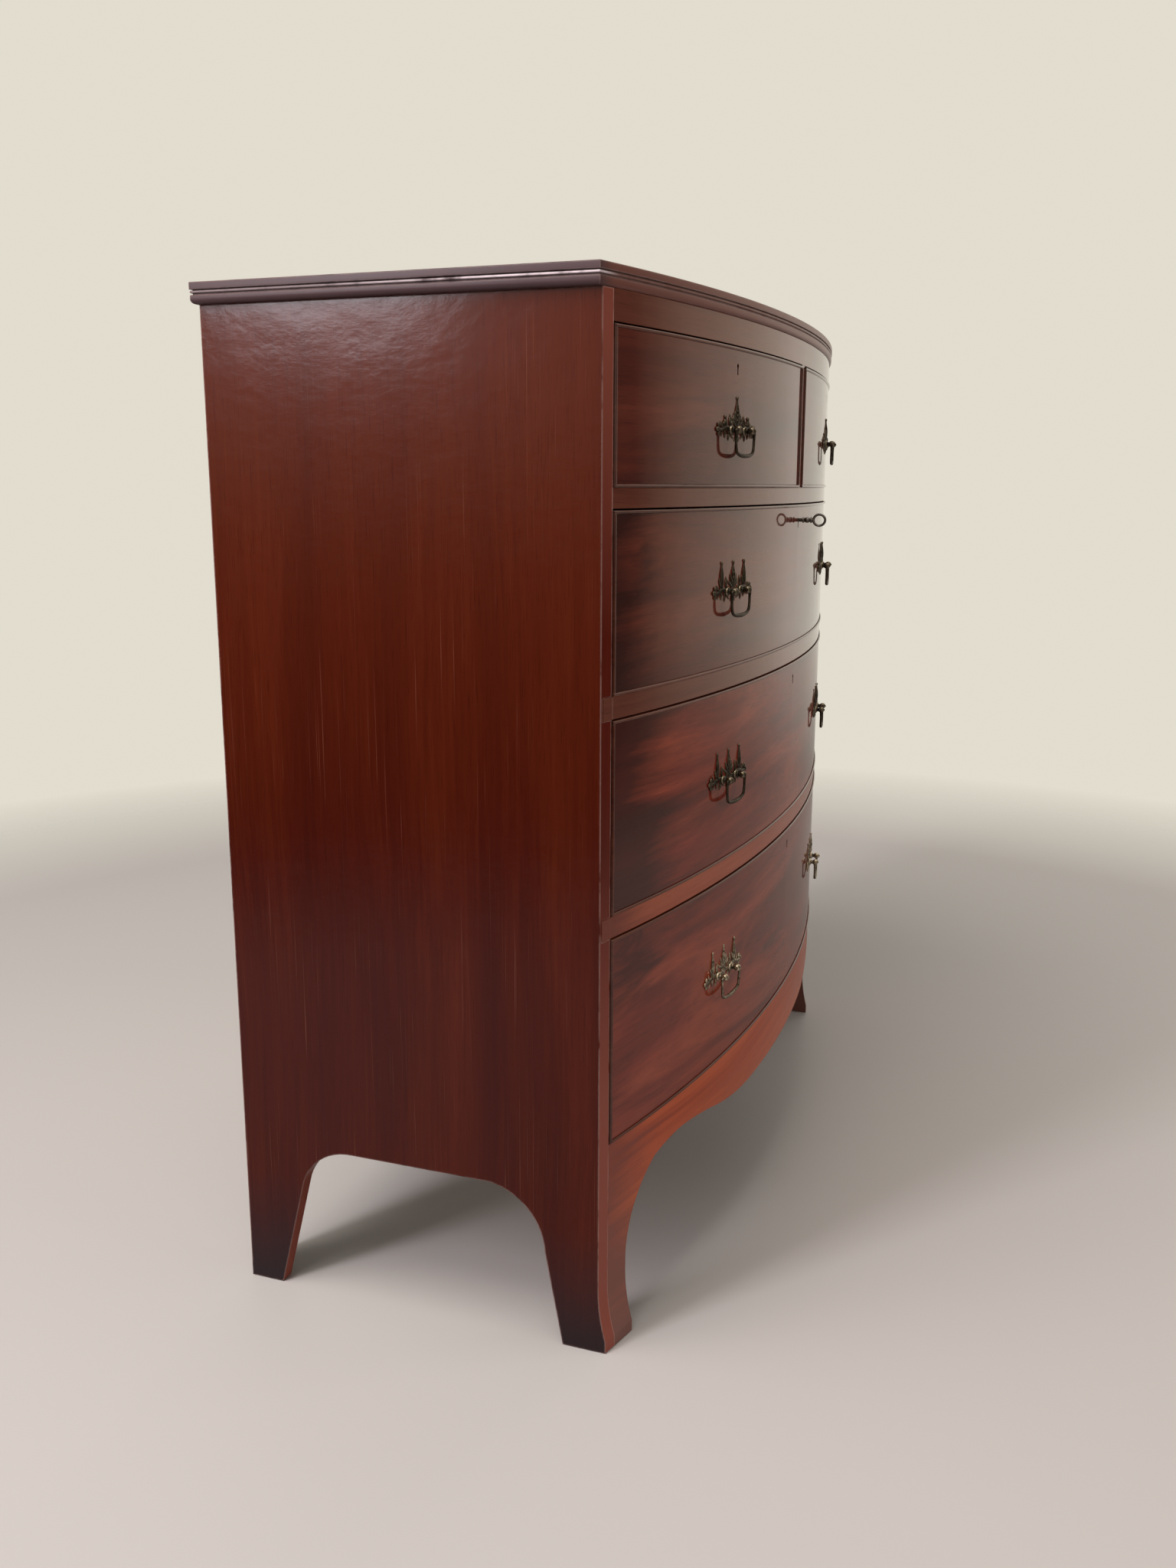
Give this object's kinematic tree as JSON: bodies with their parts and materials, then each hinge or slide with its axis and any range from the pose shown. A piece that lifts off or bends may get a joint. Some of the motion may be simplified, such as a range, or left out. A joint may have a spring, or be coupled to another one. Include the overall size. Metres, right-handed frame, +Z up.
{
  "type": "bow front chest of drawers",
  "caption": "Bow-fronted mahogany chest with short drawers over graduated long drawers, pierced brass bail handles, a key in its lock and shaped bracket feet.",
  "frame": {"origin": "centre of the bounding box's base, on the floor", "axes": "+X to the right as seen from the front, -Y out of the bowed front, +Z up"},
  "size_m": [1.039, 0.516, 1.04],
  "materials": {
    "mahogany": "french polish",
    "pine": "bare, aged",
    "oak": "bare, waxed",
    "brass": "dark patina, worn edges",
    "steel": "darkened",
    "iron": "dark"
  },
  "bodies": {
    "carcase": {"top_board": "mahogany", "left_side": "mahogany", "right_side": "mahogany", "back_boards": "pine", "top_rail": "mahogany", "upper_rail": "mahogany", "middle_rail": "mahogany", "lower_rail": "mahogany", "apron": "mahogany", "left_front_foot": "mahogany", "right_front_foot": "mahogany", "rear_brackets": "pine", "centre_divider": "mahogany", "dust_panels": "pine", "bottom_board": "pine", "runners_and_kickers": "pine", "drawer_stops": "pine", "glue_blocks": "pine", "back_nails": "iron", "top_screws": "iron"},
    "upper_left_drawer": {"upper_left_drawer_front": "mahogany", "upper_left_drawer_frame": "oak", "upper_left_drawer_bottom": "oak", "upper_left_drawer_beads": "mahogany", "upper_left_drawer_handle_plates": "brass", "upper_left_drawer_lock": "brass"},
    "upper_left_bail": {"upper_left_bail": "brass"},
    "upper_right_drawer": {"upper_right_drawer_front": "mahogany", "upper_right_drawer_frame": "oak", "upper_right_drawer_bottom": "oak", "upper_right_drawer_beads": "mahogany", "upper_right_drawer_handle_plates": "brass", "upper_right_drawer_lock": "brass"},
    "upper_right_bail": {"upper_right_bail": "brass"},
    "second_drawer": {"second_drawer_front": "mahogany", "second_drawer_frame": "oak", "second_drawer_bottom": "oak", "second_drawer_beads": "mahogany", "second_drawer_handle_plates": "brass", "second_drawer_lock": "brass"},
    "second_left_bail": {"second_left_bail": "brass"},
    "second_right_bail": {"second_right_bail": "brass"},
    "third_drawer": {"third_drawer_front": "mahogany", "third_drawer_frame": "oak", "third_drawer_bottom": "oak", "third_drawer_beads": "mahogany", "third_drawer_handle_plates": "brass", "third_drawer_lock": "brass"},
    "third_left_bail": {"third_left_bail": "brass"},
    "third_right_bail": {"third_right_bail": "brass"},
    "bottom_drawer": {"bottom_drawer_front": "mahogany", "bottom_drawer_frame": "oak", "bottom_drawer_bottom": "oak", "bottom_drawer_beads": "mahogany", "bottom_drawer_handle_plates": "brass", "bottom_drawer_lock": "brass"},
    "bottom_left_bail": {"bottom_left_bail": "brass"},
    "bottom_right_bail": {"bottom_right_bail": "brass"},
    "key": {"key": "steel"},
    "lock_bolt": {"lock_bolt": "brass"}
  },
  "joints": [
    {"name": "upper_left_drawer_slide", "type": "slide", "parent": "carcase", "child": "upper_left_drawer", "axis": [0, -1, 0], "range_m": [0, 0.3]},
    {"name": "upper_left_bail_hinge", "type": "hinge", "parent": "upper_left_drawer", "child": "upper_left_bail", "pos_m": [-0.25261, -0.21676, 0.9095], "axis": [-0.9907, 0.1359, 0], "range_deg": [-10, 120]},
    {"name": "upper_right_drawer_slide", "type": "slide", "parent": "carcase", "child": "upper_right_drawer", "axis": [0, -1, 0], "range_m": [0, 0.3]},
    {"name": "upper_right_bail_hinge", "type": "hinge", "parent": "upper_right_drawer", "child": "upper_right_bail", "pos_m": [0.25261, -0.21676, 0.9095], "axis": [-0.9907, -0.1359, 0], "range_deg": [-10, 120]},
    {"name": "second_drawer_slide", "type": "slide", "parent": "carcase", "child": "second_drawer", "axis": [0, -1, 0], "range_m": [0, 0.3]},
    {"name": "second_left_bail_hinge", "type": "hinge", "parent": "second_drawer", "child": "second_left_bail", "pos_m": [-0.25261, -0.21676, 0.7465], "axis": [-0.9907, 0.1359, 0], "range_deg": [-10, 120]},
    {"name": "second_right_bail_hinge", "type": "hinge", "parent": "second_drawer", "child": "second_right_bail", "pos_m": [0.25261, -0.21676, 0.7465], "axis": [-0.9907, -0.1359, 0], "range_deg": [-10, 120]},
    {"name": "third_drawer_slide", "type": "slide", "parent": "carcase", "child": "third_drawer", "axis": [0, -1, 0], "range_m": [0, 0.3]},
    {"name": "third_left_bail_hinge", "type": "hinge", "parent": "third_drawer", "child": "third_left_bail", "pos_m": [-0.25261, -0.21676, 0.546], "axis": [-0.9907, 0.1359, 0], "range_deg": [-10, 120]},
    {"name": "third_right_bail_hinge", "type": "hinge", "parent": "third_drawer", "child": "third_right_bail", "pos_m": [0.25261, -0.21676, 0.546], "axis": [-0.9907, -0.1359, 0], "range_deg": [-10, 120]},
    {"name": "bottom_drawer_slide", "type": "slide", "parent": "carcase", "child": "bottom_drawer", "axis": [0, -1, 0], "range_m": [0, 0.3]},
    {"name": "bottom_left_bail_hinge", "type": "hinge", "parent": "bottom_drawer", "child": "bottom_left_bail", "pos_m": [-0.25261, -0.21676, 0.3235], "axis": [-0.9907, 0.1359, 0], "range_deg": [-10, 120]},
    {"name": "bottom_right_bail_hinge", "type": "hinge", "parent": "bottom_drawer", "child": "bottom_right_bail", "pos_m": [0.25261, -0.21676, 0.3235], "axis": [-0.9907, -0.1359, 0], "range_deg": [-10, 120]},
    {"name": "key_turn", "type": "hinge", "parent": "second_drawer", "child": "key", "pos_m": [0, -0.224, 0.814], "axis": [0, 1, 0], "range_deg": [0, 180]},
    {"name": "lock_bolt_slide", "type": "slide", "parent": "second_drawer", "child": "lock_bolt", "axis": [0, 0, 1], "range_m": [0, 0.007]}
  ],
  "couplings": [
    {"joint": "lock_bolt_slide", "follows": "key_turn", "m_per_rad": 0.002228}
  ]
}
